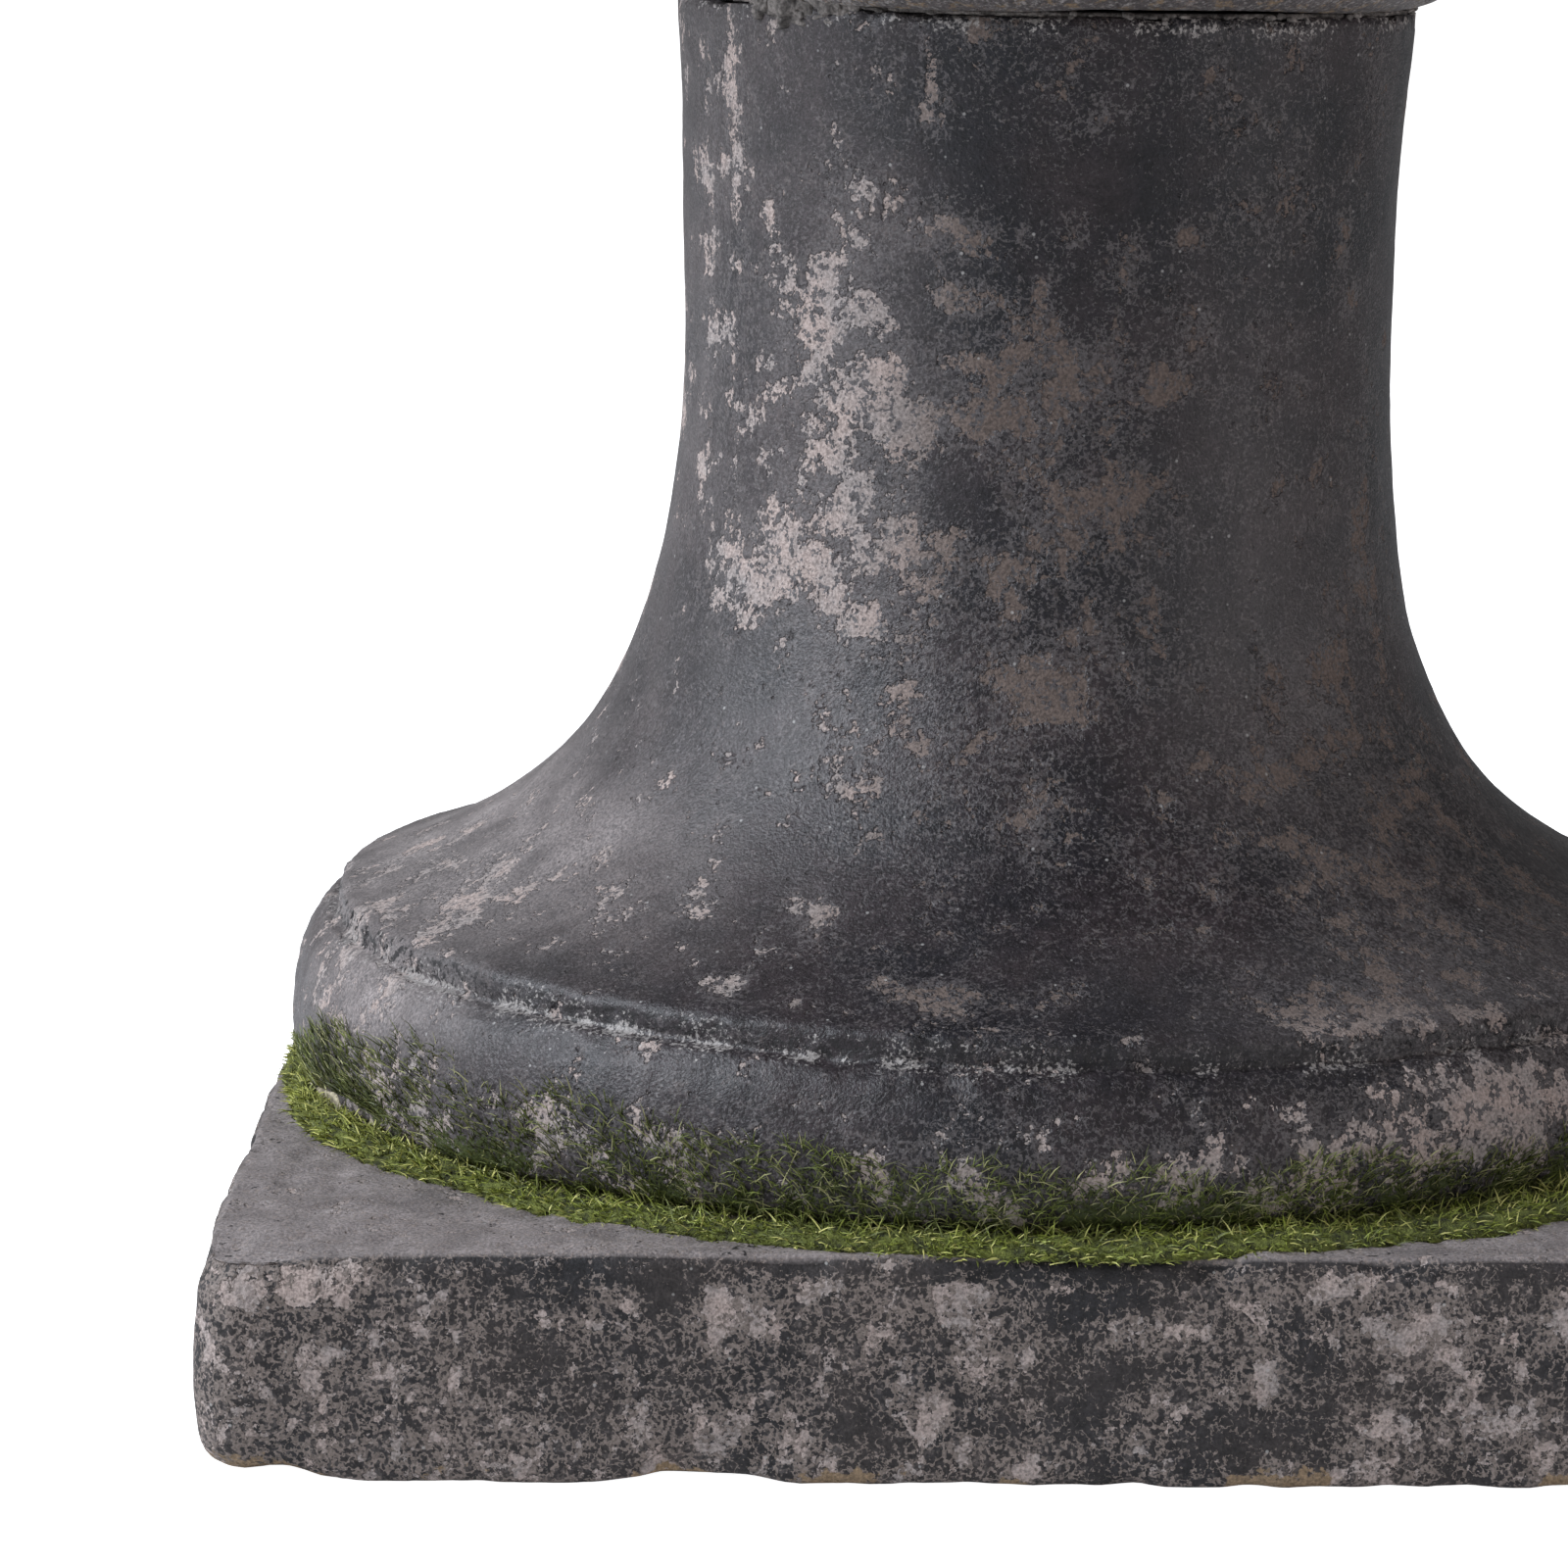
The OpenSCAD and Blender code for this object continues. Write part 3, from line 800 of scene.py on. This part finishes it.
def lump(place, halves, direction, roughness, seed, subdivisions=5):
    """The points and faces of a rough lump with these half sizes: across, outward and up."""
    mesh = bmesh.new()
    bmesh.ops.create_icosphere(mesh, subdivisions=subdivisions, radius=1.0)
    points = np.array([v.co for v in mesh.verts])
    faces = [[v.index for v in face.verts] for face in mesh.faces]
    mesh.free()
    points *= (1 + roughness * rough(points, 0.7, seed, 4, 0.6))[:, None]
    points = np.sign(points) * np.abs(points) ** [1, 1, 0.7] * halves
    turn = math.radians(direction)
    across = np.array([math.cos(turn), math.sin(turn), 0])
    outward = np.array([math.sin(turn), -math.cos(turn), 0])
    turned = points[:, :1] * across + points[:, 1:2] * outward + points[:, 2:] * [0, 0, 1]
    return place + turned, faces


def on_the_head(direction, radius, height):
    """The point in that direction from the front, at that radius and height."""
    turn = math.radians(direction)
    return np.array([radius * math.sin(turn), -radius * math.cos(turn), height])


seat_z = dabs_high.z
dab_mid = (dabs_low.z + dabs_high.z) / 2
dab_flat = (dabs_high.z - dabs_low.z) / 2
lumps = [lump(on_the_head(direction, DAB_RING, dab_mid), (DAB_HALF, DAB_HALF, dab_flat * 0.8),
              direction, roughness=0.16, seed=131 + 7 * k)
         for k, direction in enumerate(DAB_DIRECTIONS)]
lumps.append(lump(on_the_head(-44, JOINT_R - 2 * MM, head_z - 0.5 * MM),
                  (7.5 * MM, 3.8 * MM, 4.8 * MM), -44, roughness=0.34, seed=161))
lumps.append(lump(on_the_head(-36, JOINT_R - 2 * MM, head_z + 0.8 * MM),
                  (7.0 * MM, 3.8 * MM, 4.4 * MM), -35, roughness=0.32, seed=171))
lumps.append(lump(on_the_head(-50, JOINT_R - 2 * MM, head_z + 0.6 * MM),
                  (5.5 * MM, 3.8 * MM, 4.4 * MM), -52, roughness=0.35, seed=181))
for k in range(SEAT_CRUMBS):
    direction = rng.uniform(-180, 180)
    size = rng.uniform(0.4, 1.0) * MM
    spot = on_the_head(direction, JOINT_R, head_z + rng.uniform(-0.4, 0.9) * MM)
    halves = (size * rng.uniform(1, 2.2), size, size * 0.8)
    lumps.append(lump(spot, halves, direction, roughness=0.3, seed=200 + k, subdivisions=2))
points, faces = [], []
start = 0
for lump_points, lump_faces in lumps:
    faces += [[number + start for number in face] for face in lump_faces]
    points.append(lump_points)
    start += len(lump_points)
dabs_data = bpy.data.meshes.new("mortar_dabs")
dabs_data.from_pydata(settle(np.vstack(points)).tolist(), [], faces)
dabs_data.polygons.foreach_set("use_smooth", np.ones(len(faces), bool))
dabs = new_object("mortar_dabs", dabs_data)
OLD_PASTE = (0.20, 0.178, 0.165, 1)
OLD_DIRT = (0.030, 0.026, 0.024, 1)
dabs_data.materials.append(lime_mortar("chipped_mortar", OLD_PASTE, OLD_DIRT, dirtiness=0.95))
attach(dabs, "stand")
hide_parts("seat_dabs")

# A thin bead of the same mortar stands in the joint, just inside its edge, and crumbles there.
bead_low = head_z - 0.2 * MM
bead_outline = np.array([
    (JOINT_R - 6 * MM, bead_low), (JOINT_R - 0.8 * MM, bead_low), (JOINT_R - 0.1 * MM, dab_mid),
    (JOINT_R - 0.8 * MM, seat_z), (JOINT_R - 6 * MM, seat_z)])
grid = turned_rings(bead_outline, BEAD_COLUMNS)
radius = np.hypot(grid[..., 0], grid[..., 1])
crumbled = 1.1 * MM * rough(grid, 3 * MM, 191, 4, 0.7)
crumbled *= smooth(radius, JOINT_R - 4 * MM, JOINT_R - 1.5 * MM)
grid[..., :2] *= (1 + crumbled / radius)[..., None]
grid = settle(np.vstack([grid, grid[:1]]))
bead = ring_mesh("seat_pointing", grid, (False, False))
bead.data.materials.append(dabs_data.materials[0])
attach(bead, "stand")


# -----------------------------------------------
# Dish. One casting with a spigot under it, a rounded collar, a short stem and a shallow
# bowl with a rolled rim. It lifts straight off. Its seat is broken away at the front left.
# -----------------------------------------------
bowl_low, bowl_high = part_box("bowl")
bowl_outline = outline_of("bowl", (31 * MM, bowl_low.z), 100 * MM)


def bowl_spacing(radius, height):
    """Rings stand wide apart under the seat, and close together round the collar."""
    hidden = (radius < 80 * MM) & (height < seat_z + 5 * MM)
    collar = (radius < 100 * MM) & (height < seat_z + 30 * MM)
    return np.where(hidden, 8 * MM, np.where(collar, 1.3 * MM, 3.1 * MM))


grid = turned_rings(resampled(bowl_outline, bowl_spacing, 1.0 * MM), CASTING_COLUMNS)
normal = grid_normals(grid)
height = grid[..., 2]
radius = np.hypot(grid[..., 0], grid[..., 1])
seen = smooth(radius, 70 * MM, 78 * MM) + smooth(height, seat_z + 20 * MM, seat_z + 30 * MM)
angle = direction_of(grid)
depth = 1.0 * MM * rough(grid, 80 * MM, 61) + 0.12 * MM * rough(grid, 8 * MM, 65, 3, 0.6)
broken = np.exp(-((angle + 72) / 38) ** 4)
broken *= 1 - smooth(height, seat_z + 9 * MM, seat_z + 19 * MM)
broken *= smooth(radius, JOINT_R - 4 * MM, JOINT_R)
grid = grid + normal * (depth * np.clip(seen, 0, 1))[..., None]
pull = broken * (np.clip(radius - 84.5 * MM, 0, None) - 1.2 * MM * rough(grid, 6 * MM, 67))
grid[..., :2] *= (1 - pull / np.maximum(radius, 1 * MM))[..., None]
bowl = ring_mesh("dish_casting", settle(grid))
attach(bowl, "dish")
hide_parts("bowl")

wear = 0.26 + 0.20 * rough(grid, 75 * MM, 91, 4, 0.6)
inside = smooth(normal[..., 2], 0.3, 0.8) * smooth(height, seat_z + 60 * MM, seat_z + 70 * MM)
depth_inside = (bowl_high.z - height) / MM
tide = inside * np.exp(-((depth_inside - 26 + 3 * noise(grid, 40 * MM, 93)) / 4) ** 2)
under_water = inside * smooth(depth_inside, 26, 34)
# The dish's lowest band at the seat, on the collar's downward face: ochre rust, and darkened to
# brown, partly rust and partly painted shade.
seat_rust_and_shade = 1 - smooth(height, seat_z + 3 * MM, seat_z + 12 * MM)
store(bowl, "wear", wear + 0.25 * broken)
store(bowl, "dust_veil_and_painted_light", 0.45 * tide + 0.25 * seat_rust_and_shade)
store(bowl, "crumb", 0.35 * broken + 0.38 * seat_rust_and_shade)
store(bowl, "soil", 0.45 * under_water * smooth(rough(grid, 30 * MM, 97), -0.3, 0.5))
store(bowl, "green", 0.5 * under_water * smooth(rough(grid, 22 * MM, 99), -0.2, 0.5))
store(bowl, "ochre", 0.36 * seat_rust_and_shade)
store(bowl, "stain_and_shade", 0.7 * seat_rust_and_shade)
bowl.data.materials.append(weathered_stone(
    "dish_stone", (CRUST, CRUST_WARM), (BARE_PINK, BARE_GREY), CRUST_FLECK,
    film=0.20, lobe=0.010, speck=0.0014, speck_weight=1.2, line=0.08, gloss=0.55))


# -----------------------------------------------
# Moss. A mat that has crept out over the plinth from the damp foot of the pedestal, thick
# with short curved shoots, and thinner shoots that climb the band above it.
# -----------------------------------------------
MOSS_COLUMNS = 900
MOSS_TOP = 3.2 * MM
MOSS_INNER = 168.5 * MM
MOSS_OUTER = 178.5 * MM


def round_circle(angle):
    """Points on a circle about as wide as the mat, to draw noise from."""
    return np.stack([np.cos(angle), np.sin(angle), 0 * angle], -1) * 180 * MM


def moss_edge(angle):
    """How far the mat reaches from the foot's middle in each direction from the front."""
    lobes = rough(round_circle(angle), 35 * MM, 101)
    right = hump(np.degrees(angle), 35, 25)
    left = hump(np.degrees(angle), -92, 26)
    return MOSS_OUTER + 6 * MM * right - 7 * MM * left + 2.2 * MM * lobes


def moss_start(angle):
    """Where the mat starts: under the band, but for a stretch where the mortar shows."""
    return MOSS_INNER + 2.0 * MM * hump(np.degrees(angle), -64, 10)


def moss_height(angle):
    """How thick the mat is where it starts, which is most where it leans on the mortar."""
    lumps = rough(round_circle(angle), 22 * MM, 111)
    heap = hump(np.degrees(angle), -64, 13)
    return MOSS_TOP + 0.9 * MM * lumps + 2.5 * MM * heap


def round_the_foot(angle, radius, height):
    """Places round the foot: directions from the front, and heights over the plinth's top."""
    return np.stack([FOOT_SHIFT + radius * np.sin(angle), -radius * np.cos(angle),
                     plinth_top + height], -1)


def foot_axes(angle):
    """Unit vectors out from the foot and along its edge, for each direction from the front."""
    return (np.stack([np.sin(angle), -np.cos(angle), 0 * angle], -1),
            np.stack([np.cos(angle), np.sin(angle), 0 * angle], -1))


angle = np.arange(MOSS_COLUMNS) / MOSS_COLUMNS * 2 * math.pi - math.pi
share = np.linspace(0, 1, 11)[:, None]
inner = moss_start(angle)
radius = inner + (moss_edge(angle) - inner) * share
height = moss_height(angle) * np.sqrt(np.clip(1 - share ** 2.2, 0, 1)) * (0.85 + 0.15 * share)
top = round_the_foot(angle + 0 * share, radius, height)
top[..., 2] += 0.8 * MM * rough(top, 4 * MM, 121, 2) * (1 - share ** 4)
under = round_the_foot(angle, inner, -0.5 * MM + 0 * angle)[None]
outer = round_the_foot(angle, moss_edge(angle) - 1 * MM, -0.5 * MM + 0 * angle)[None]
grid = np.vstack([outer, top[::-1], under, outer])
mat = ring_mesh("moss_mat", grid, (False, False))
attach(mat, "stand")
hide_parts("foot_moss")
mat_green, graph, shader, place = new_material("moss_mat_green")
clumps = graph.step(graph.noise(place, 0.004, 4, 0.7), 0.35, 0.65)
MAT_DARK = (0.030, 0.034, 0.010, 1)
MAT_LIGHT = (0.170, 0.195, 0.040, 1)
tufts = graph.noise(place, 0.0012, 3, 0.7)
graph.surface(shader, graph.mix(clumps, MAT_DARK, MAT_LIGHT), 0.95, tufts, 2 * MM)
mat.data.materials.append(mat_green)


PAINTED_HIGHLIGHT_GREEN = (0.34, 0.345, 0.075, 1)
MAT_ROOT = (0.065, 0.075, 0.016, 1)
MAT_TIP = (0.340, 0.400, 0.060, 1)
MAT_DRY = (0.46, 0.44, 0.15, 1)
# The band's shoots: the mat's colours made darker, partly their own darker green and partly painted
# shade of the band.
BAND_ROOT_SHADED = (0.026, 0.031, 0.009, 1)
BAND_TIP_SHADED = (0.230, 0.280, 0.055, 1)
BAND_DRY_SHADED = (0.32, 0.31, 0.15, 1)


def shoot_green(name, root, tip, dry):
    """Shoots that are dark at the root, green at the tip, and here and there a dry one; on the mat's
    side towards the left lamp they get a painted highlight, a lighter, yellower green.
    """
    material, graph, shader, place = new_material(name)
    own = graph.attribute("own")
    patchy = graph.step(graph.noise(place, 0.014, 3, 0.6), 0.38, 0.62)
    blade = graph.mix(graph.attribute("along"), root, tip)
    blade = graph.mix(graph.math("MULTIPLY", patchy, 0.6), blade, root)
    blade = graph.mix(graph.step(own, 0.72, 0.95), blade, dry)
    # Painted highlight: mat shoots on the side towards the left lamp are lightened to a yellower
    # green.
    blade = graph.mix(graph.attribute("painted_highlight"), blade, PAINTED_HIGHLIGHT_GREEN)
    graph.surface(shader, graph.shaded(blade, graph.step(own, 0.0, 0.7, 0.55, 1.35)), 0.6)
    return material


# A shoot has three points at its root, three at its bend, which is a share of its length up,
# and one at its tip, which droops by a share of its length.
SHOOT_POINTS = 7
SHOOT_BEND = 0.55
SHOOT_DROOP = 0.25


def shoots(name, roots, leans, lengths, widths, green):
    """Thin three-sided shoots that bend over, one at each root, leaning the way it is given."""
    count = len(roots)
    leans = leans / np.linalg.norm(leans, axis=1)[:, None]
    droop = np.array([0, 0, -SHOOT_DROOP])
    side = np.cross(leans, rng.normal(size=(count, 3)))
    side /= np.linalg.norm(side, axis=1)[:, None]
    back = np.cross(leans, side)
    points = []
    for along, slim in ((0.0, 1.0), (SHOOT_BEND, 0.75)):
        middle = roots + (leans + droop * along) * (lengths * along)[:, None]
        for turn in np.radians((0, 120, 240)):
            spread = side * math.cos(turn) + back * math.sin(turn)
            points.append(middle + spread * (widths * slim / 2)[:, None])
    points.append(roots + (leans + droop) * lengths[:, None])
    points = np.stack(points, 1)
    sides = [(0, 1, 4, 3), (1, 2, 5, 4), (2, 0, 3, 5)]
    ends = [(0, 2, 1), (3, 4, 6), (4, 5, 6), (5, 3, 6)]
    faces = [[corner + SHOOT_POINTS * k for corner in face]
             for k in range(count) for face in sides + ends]
    data = bpy.data.meshes.new(name)
    data.from_pydata(points.reshape(-1, 3).tolist(), [], faces)
    data.materials.append(green)
    piece = new_object(name, data)
    store(piece, "along", np.tile([0] * 3 + [SHOOT_BEND] * 3 + [1], count))
    store(piece, "own", np.repeat(rng.random(count), SHOOT_POINTS))
    # Painted highlight, strongest on the mat's shoots that face the left lamp.
    direction = direction_of(roots)
    on_mat = 1 - smooth(roots[:, 2], mortar_high.z + 2 * MM, mortar_high.z + 6 * MM)
    highlight_share = 0.36 * hump(direction, -75, 26) * on_mat
    store(piece, "painted_highlight", np.repeat(highlight_share, SHOOT_POINTS))
    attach(piece, "stand")


MAT_SHOOTS = 19000
angle = rng.uniform(-math.pi, math.pi, MAT_SHOOTS)
share = rng.random(MAT_SHOOTS) ** 0.75
radius = moss_start(angle) + (moss_edge(angle) - moss_start(angle)) * share
height = moss_height(angle) * np.sqrt(1 - share ** 2.2) - 1.0 * MM
outward, sideways = foot_axes(angle)
leans = outward * (0.9 * share - 0.3 + 0.6 * rng.normal(size=MAT_SHOOTS))[:, None]
leans += sideways * (0.9 * rng.normal(size=MAT_SHOOTS))[:, None]
at_left = hump(np.degrees(angle), -92, 24)
leans -= outward * (1.1 * at_left * share)[:, None]
leans[:, 2] = rng.uniform(0.15, 1.0, MAT_SHOOTS) * (1 - 0.5 * at_left)
lengths = rng.uniform(2.5, 9.0, MAT_SHOOTS) * MM * (1 - 0.45 * share) * (1 - 0.35 * at_left)
shoots("moss_shoots", round_the_foot(angle, radius, height), leans, lengths,
       rng.uniform(0.28, 0.5, MAT_SHOOTS) * MM,
       shoot_green("moss_green", MAT_ROOT, MAT_TIP, MAT_DRY))

# Thinner shoots climb the band, highest at the front left. Their colours are a darker copy of the
# mat's: partly their own darker green, partly painted shade of the band.
CLIMBERS = 18500
angle = rng.uniform(-math.pi, math.pi, CLIMBERS)
turn = np.degrees(angle)
climb = 12 * MM + 9 * MM * hump(turn, -40, 30)
climb -= 6 * MM * (1 - smooth(np.abs(turn + 95), 10, 35))
climb *= 1 + 0.35 * rough(round_circle(angle), 30 * MM, 141)
height = mortar_high.z - plinth_top + climb * rng.random(CLIMBERS) ** 1.4
height += 6 * MM * hump(turn, -63, 10)
on_band = (pedestal_outline[:, 1] < LEDGE_Z) & (pedestal_outline[:, 0] > 160 * MM)
lower_band = pedestal_outline[on_band]
lower_band = lower_band[np.argsort(lower_band[:, 1])]
radius = np.interp(height + plinth_top, lower_band[:, 1], lower_band[:, 0]) - 0.4 * MM
outward, sideways = foot_axes(angle)
leans = outward * (rng.uniform(0.1, 0.7, CLIMBERS) * smooth(turn, -95, -50))[:, None]
leans += sideways * (0.55 * rng.normal(size=CLIMBERS))[:, None]
leans[:, 2] = rng.uniform(0.4, 1.1, CLIMBERS)
shoots("moss_climbers", round_the_foot(angle, radius, height), leans,
       rng.uniform(2.5, 9.0, CLIMBERS) * MM * (0.35 + 0.65 * smooth(turn, -90, -55)),
       rng.uniform(0.22, 0.40, CLIMBERS) * MM * (0.6 + 0.4 * smooth(turn, -85, -55)),
       shoot_green("moss_shaded_dark_green", BAND_ROOT_SHADED, BAND_TIP_SHADED, BAND_DRY_SHADED))
